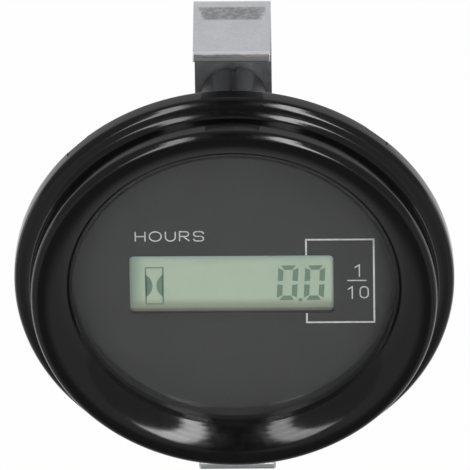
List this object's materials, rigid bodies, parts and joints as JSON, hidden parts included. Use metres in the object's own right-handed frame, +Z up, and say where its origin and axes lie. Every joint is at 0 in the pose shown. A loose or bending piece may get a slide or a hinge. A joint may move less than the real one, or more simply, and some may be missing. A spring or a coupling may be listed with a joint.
{
  "type": "panel hour meter",
  "caption": "Round panel hour meter with a liquid-crystal display in a glossy black bezel, held by a bent steel stirrup bracket on threaded studs.",
  "frame": {"origin": "centre of the flange's rear face, where the barrel leaves it", "axes": "+X right and +Z up as the dial is read, +Y to the rear along the barrel"},
  "size_m": [0.06, 0.0332, 0.069],
  "materials": {
    "bezel_plastic": "gloss",
    "lens_clear": "polished",
    "seal_rubber": "matte",
    "dial_print": "matte",
    "display_film": "satin",
    "display_glass": "polished",
    "reflector_film": "satin",
    "white_plastic": "matte",
    "board_laminate": "satin",
    "chip_resin": "matte",
    "can_metal": "satin",
    "absorber_coat": "gloss",
    "ceramic_tan": "matte",
    "case_plastic": "satin",
    "tinned_brass": "satin",
    "stud_steel": "satin",
    "plated_steel": "satin",
    "zinc_strip": "satin"
  },
  "bodies": {
    "meter": {"front_bezel": "bezel_plastic", "lens": "lens_clear", "rear_case": "case_plastic", "terminal_positive": "tinned_brass", "terminal_negative": "tinned_brass", "stud_upper": "stud_steel", "stud_lower": "stud_steel", "lens_seal": "seal_rubber", "dial_plate": "dial_print", "lcd_front_polarizer": "display_film", "lcd_cell": "display_glass", "lcd_reflector": "reflector_film", "lcd_frame": "white_plastic", "elastomer_strip_upper": "seal_rubber", "elastomer_strip_lower": "seal_rubber", "circuit_board": "board_laminate", "board_screws": "plated_steel", "controller_chip": "chip_resin", "memory_chip": "chip_resin", "quartz_crystal": "can_metal", "filter_capacitor": "can_metal", "surge_absorber": "absorber_coat", "rectifier_diodes": "chip_resin", "dropper_resistors": "chip_resin", "ceramic_capacitors": "ceramic_tan"},
    "bracket": {"mounting_bracket": "zinc_strip", "lock_washer_upper": "plated_steel", "lock_washer_lower": "plated_steel"},
    "upper_nut": {"nut_upper": "plated_steel"},
    "lower_nut": {"nut_lower": "plated_steel"}
  },
  "joints": [
    {"name": "bracket_slide", "type": "slide", "parent": "meter", "child": "bracket", "axis": [0, 1, 0], "range_m": [0, 0.005]},
    {"name": "upper_nut_turn", "type": "hinge", "parent": "bracket", "child": "upper_nut", "pos_m": [0, 0, 0.01925], "axis": [0, 1, 0], "range_deg": [0, 2600]},
    {"name": "lower_nut_turn", "type": "hinge", "parent": "bracket", "child": "lower_nut", "pos_m": [0, 0, -0.01925], "axis": [0, 1, 0], "range_deg": [0, 2600]}
  ],
  "couplings": [
    {"joint": "upper_nut_turn", "follows": "bracket_slide", "rad_per_m": 8976},
    {"joint": "lower_nut_turn", "follows": "bracket_slide", "rad_per_m": 8976}
  ]
}
